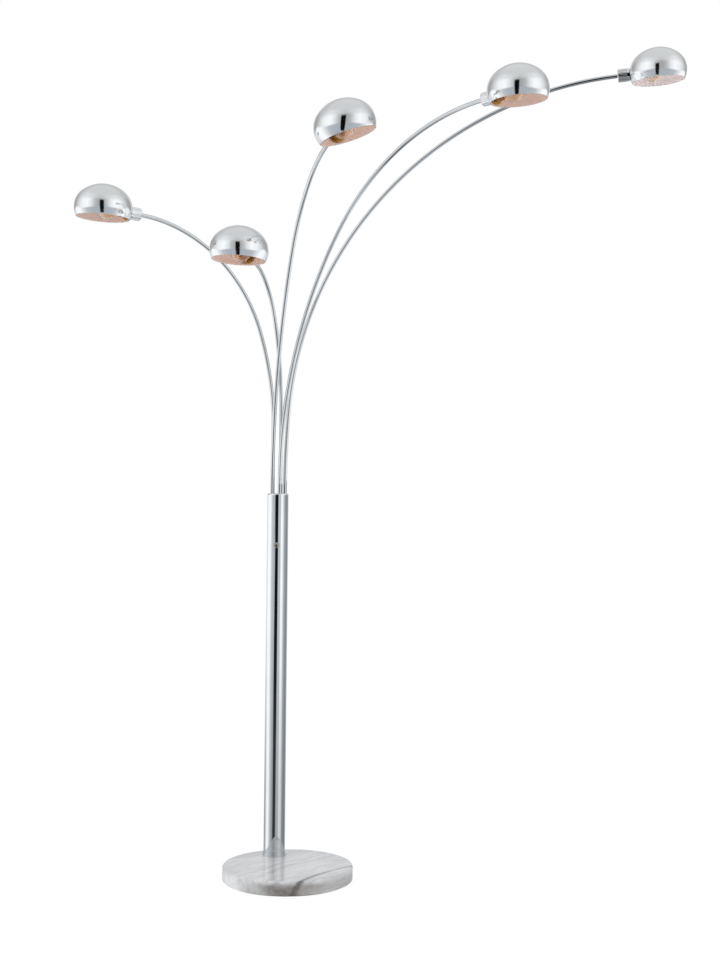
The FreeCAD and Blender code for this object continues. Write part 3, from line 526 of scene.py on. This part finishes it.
def head_axes(arm):
    """Shade centre and axes: X along the arm's end, Z up the shade's own axis."""
    hinge = next(j for j in frame["joints"] if j["name"] == arm + "_shade_turn")
    forward = Vector(hinge["axis"]).normalized()
    centre = Vector(hinge["pos_m"]) + forward * HEAD_REACH * MM
    side = forward.cross(Vector((0, 0, 1))).normalized()
    above = side.cross(forward)
    roll = math.radians(SHADE_ROLL[arm])
    axis = above * math.cos(roll) + side * math.sin(roll)
    axes = Matrix((forward, axis.cross(forward), axis)).transposed().to_4x4()
    return Matrix.Translation(centre) @ axes


def dome_inside(depth):
    """The crown's height, and points (radius, height) down from it, this deep under the
    dome's inner face."""
    centre = DOME_RADIUS - DOME_SHOULDER
    crown = centre ** 2 + DOME_HEIGHT ** 2 - DOME_SHOULDER ** 2
    crown /= 2 * (DOME_HEIGHT - DOME_SHOULDER)
    drop = crown - DOME_HEIGHT
    tight, wide = DOME_SHOULDER - DOME_WALL - depth, crown - DOME_WALL - depth
    meet = math.atan2(drop, centre)
    points = []
    crown_steps, shoulder_steps, edge_gap = 14, 24, 0.1
    for step in range(1, crown_steps + 1):
        angle = math.pi / 2 + (meet - math.pi / 2) * step / crown_steps
        points.append((wide * math.cos(angle), wide * math.sin(angle) - drop))
    foot = -math.asin((DOME_SKIRT - edge_gap) / tight)
    for step in range(1, shoulder_steps + 1):
        angle = meet + (foot - meet) * step / shoulder_steps
        points.append((centre + tight * math.cos(angle), tight * math.sin(angle)))
    return wide - drop, points


def enamel_lining(arm, axes):
    """The enamel coat inside the dome, open where the lamp-holder comes through."""
    shape = bmesh.new()
    around, outer_depth, inner_depth = 144, 0.04, 0.16
    skins = []
    for depth in (outer_depth, inner_depth):
        top, points = dome_inside(depth)
        crown = shape.verts.new((0, 0, top * MM))
        rings = [ring(shape, around, lambda c, s, radius=radius, level=level:
                      (radius * c * MM, radius * s * MM, level * MM))
                 for radius, level in points]
        skins.append((crown, rings))

    def open_here(corners):
        middle = sum((corner.co for corner in corners), Vector()) / len(corners)
        return middle.x < 0 and math.hypot(middle.y, middle.z) < HOLDER_HOLE * MM

    faces = {}
    for layer, (crown, rings) in enumerate(skins):
        for step in range(around):
            after = (step + 1) % around
            faces[layer, 0, step] = shape.faces.new((crown, rings[0][step], rings[0][after]))
            for index in range(len(rings) - 1):
                corners = (rings[index][step], rings[index + 1][step],
                           rings[index + 1][after], rings[index][after])
                if not open_here(corners):
                    faces[layer, index + 1, step] = shape.faces.new(corners)
    # Join both skins along the dome's lower edge and round the lamp-holder's hole.
    outer, inner = skins[0][1], skins[1][1]
    band(shape, inner[-1], outer[-1])
    for index in range(len(outer) - 1):
        for step in range(around):
            if (0, index + 1, step) in faces:
                continue
            # Each side of an open cell, as its two corners, and the cell past that side.
            after, before = (step + 1) % around, (step - 1) % around
            sides = (
                ((index, step), (index, after), (index, step)),
                ((index + 1, step), (index + 1, after), (index + 2, step)),
                ((index, step), (index + 1, step), (index + 1, before)),
                ((index, after), (index + 1, after), (index + 1, after)),
            )
            for (row_a, step_a), (row_b, step_b), (row, beside) in sides:
                if (0, row, beside) in faces:
                    shape.faces.new((outer[row_a][step_a], outer[row_b][step_b],
                                     inner[row_b][step_b], inner[row_a][step_a]))
    loose = [corner for corner in shape.verts if not corner.link_faces]
    bmesh.ops.delete(shape, geom=loose, context="VERTS")
    lining = new_piece(arm + "_shade_enamel", shape, axes)
    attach(lining, arm + "_head")
    return lining


def turned_piece(name, outline, axes, around=32):
    """A piece turned about X from (along, radius) points in mm; radius 0 closes an end."""
    shape = bmesh.new()
    rings = []
    for along, radius in outline:
        if radius == 0:
            rings.append([shape.verts.new((along * MM, 0, 0))])
        else:
            rings.append(ring(shape, around, lambda c, s:
                              (along * MM, radius * c * MM, radius * s * MM)))
    for first, second in zip(rings, rings[1:]):
        if len(first) == len(second):
            band(shape, first, second)
            continue
        for step in range(around):
            after = (step + 1) % around
            if len(first) == 1:
                shape.faces.new((first[0], second[after], second[step]))
            else:
                shape.faces.new((first[step], first[after], second[0]))
    return new_piece(name, shape, axes)


def bent_wire(shape, points, radius, sides=8):
    """A round wire through points in mm, added to a mesh in the making."""
    places = [Vector(point) * MM for point in points]
    across = None
    rings = []
    for index, place in enumerate(places):
        ahead = places[min(index + 1, len(places) - 1)] - places[max(index - 1, 0)]
        ahead.normalize()
        if across is None:
            across = ahead.orthogonal().normalized()
        across = (across - ahead * across.dot(ahead)).normalized()
        beside = ahead.cross(across)
        rings.append(ring(shape, sides, lambda c, s:
                          place + (across * c + beside * s) * radius * MM))
    for first, second in zip(rings, rings[1:]):
        band(shape, first, second)
    shape.faces.new(rings[0])
    shape.faces.new(rings[-1])


def bulb_insides(arm, axes, glass, wire, tungsten):
    """The glass mount, its lead and support wires and the coiled filament. X is along the
    bulb, in mm from the dome's centre, and the cap is at the far negative end."""
    mount = turned_piece(arm + "_bulb_mount", [
        (-42.2, 0), (-42.2, 5.0), (-40.5, 4.6), (-38.0, 2.9), (-35.0, 1.9), (-31.0, 1.7),
        (-28.5, 2.1), (-27.0, 1.5), (-25.0, 0.9), (-20.5, 0.8), (-19.8, 1.5), (-18.6, 1.7),
        (-17.8, 1.1), (-17.5, 0),
    ], axes, around=20)
    give(mount, glass)
    mount.visible_shadow = False
    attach(mount, arm + "_head")

    shape = bmesh.new()
    for side in (-1, 1):
        bent_wire(shape, [(-29.0, side * 2.3, 0), (-24.0, side * 4.5, 0), (-18.0, side * 8.0, 0),
                          (-13.0, side * 10.0, 0), (-11.5, side * 10.3, 0)], 0.28)
        bent_wire(shape, [(-18.6, side * 1.6, 0), (-15.0, side * 2.6, 0.6),
                          (-10.5, side * 3.6, 0.9), (-7.0, side * 3.9, 0.2)], 0.18)
    wires = new_piece(arm + "_bulb_wires", shape, axes)
    give(wires, wire)
    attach(wires, arm + "_head")

    shape = bmesh.new()
    turns, steps, coil = 34, 10, 0.55
    points = []
    for index in range(turns * steps + 1):
        share = index / (turns * steps)
        across = -10.3 + 20.6 * share
        ahead = -11.5 + 4.6 * math.sin(math.pi * share) ** 0.6
        angle = 2 * math.pi * turns * share
        points.append((ahead + coil * math.cos(angle), across, coil * math.sin(angle)))
    bent_wire(shape, points, 0.16, sides=5)
    filament = new_piece(arm + "_filament", shape, axes)
    give(filament, tungsten)
    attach(filament, arm + "_head")


# What lights the inside of each shade: four bulbs are dimmed down to an orange glow and the
# fifth is filled with the studio's own cool light.
GLOW = {"arm_1": (1.0, 0.60, 0.38), "arm_2": (1.0, 0.58, 0.36), "arm_3": (1.0, 0.58, 0.36),
        "arm_4": (1.0, 0.60, 0.38), "arm_5": (0.83, 0.90, 1.0)}
GLOW_RADIUS, GLOW_PLACE = 0.006, -0.010
GLOW_WATTS = {"arm_1": 0.024, "arm_2": 0.026, "arm_3": 0.026, "arm_4": 0.026, "arm_5": 0.045}


def light_bulb(arm, axes):
    glow = bpy.data.lights.new(arm + "_glow", "POINT")
    glow.color = GLOW[arm]
    glow.energy = GLOW_WATTS[arm]
    glow.shadow_soft_size = GLOW_RADIUS
    lamp = put_in_scene(arm + "_glow", glow)
    lamp.matrix_world = axes @ Matrix.Translation((GLOW_PLACE, 0, 0))
    lamp.visible_camera = False
    lamp.visible_glossy = False
    lamp.visible_transmission = False
    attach(lamp, arm + "_head")


# ---------------------------------------------------------------- whole lamp

set_camera()
light_studio()
lay_floor()
hang_flag()
stand_screens()

tube_chrome = chrome_plate("polished_chrome_plate", 0.045, 0.6, "#D2D5D7", "#D8DADC")
arm_chrome = chrome_plate("bent_tube_chrome_plate", 0.06, 0.6, "#C2C5C7", "#CACCCE")
shade_chrome = chrome_plate("spun_chrome_plate", 0.10, 0.4, "#D2D5D7", "#D8DADC")
marble = polished_marble()
zinc = plain_finish("zinc_plate", "#9C9FA3", "#B4B6B8", 0.38, 1.0, 0.8)
rubber = plain_finish("moulded_rubber", "#121212", "#1C1C1C", 0.75, 0.0, 0.5)
felt = plain_finish("pressed_felt", "#16161A", "#2A2A2E", 0.95, 0.0, 0.4, relief=0.6)
phenolic = plain_finish("black_phenolic", "#101010", "#191919", 0.45, 0.0, 0.6)
amber = plain_finish("amber_phenolic", "#7A4A1C", "#99622A", 0.28, 0.0, 1.5)
brass = plain_finish("brass_plate", "#C29A55", "#D2AE6C", 0.22, 1.0, 0.7)
white_block = plain_finish("white_polyamide", "#D4D3CD", "#E2E1DC", 0.5, 0.0, 0.6)
jacket = plain_finish("grey_wire_jacket", "#8D8D8D", "#A0A0A0", 0.55, 0.0, 0.6)
fibre = plain_finish("red_fibre", "#6E2618", "#86331F", 0.7, 0.0, 0.3)
spring = plain_finish("oiled_spring_steel", "#4C4D50", "#5E5F63", 0.35, 1.0, 0.5)
cap_metal = plain_finish("nickelled_bulb_cap", "#B8B2A2", "#C9C4B6", 0.3, 1.0, 0.7)
nickel = plain_finish("nickel_wire", "#9A968C", "#ABA79C", 0.3, 1.0, 0.3)
satin_nickel = plain_finish("satin_nickel_plate", "#8C8780", "#98938B", 0.18, 1.0, 0.5)
enamel = plain_finish("blush_enamel", "#E4D8D4", "#EADFDB", 0.35, 0.0, 1.2, relief=0.05)
glass = clear_glass()
tungsten = hot_tungsten()

FINISHES = {
    "base_felt": felt, "marble_base": marble, "clamp_washer": zinc, "clamp_nut": zinc,
    "clamp_rod": zinc, "pole_plug": zinc, "pole_tube": tube_chrome, "foot_ring": tube_chrome,
    "top_cap": tube_chrome, "wire_bush": rubber, "dimmer_body": phenolic, "dimmer_nut": zinc,
    "dimmer_spindle": zinc, "dimmer_knob": satin_nickel, "supply_wire": jacket,
    "dimmed_wire": jacket, "terminal_block": white_block, "arm_washers": fibre,
    "arm_clips": spring,
}
HEAD_FINISHES = {
    "tube": arm_chrome, "lead": jacket, "collar": tube_chrome, "lamp_holder": amber,
    "shade_ring": brass, "shade": shade_chrome, "bulb_base": cap_metal, "bulb_glass": glass,
}
for node, finish in FINISHES.items():
    give(frame["nodes"][node], finish)
for arm in ARMS:
    for part, finish in HEAD_FINISHES.items():
        give(frame["nodes"][arm + "_" + part], finish)
    axes = head_axes(arm)
    give(enamel_lining(arm, axes), enamel)
    bulb_insides(arm, axes, glass, nickel, tungsten)
    light_bulb(arm, axes)
    # Thin clear glass throws next to no shadow.
    frame["nodes"][arm + "_bulb_glass"].visible_shadow = False

bpy.context.scene.view_settings.view_transform = "Standard"
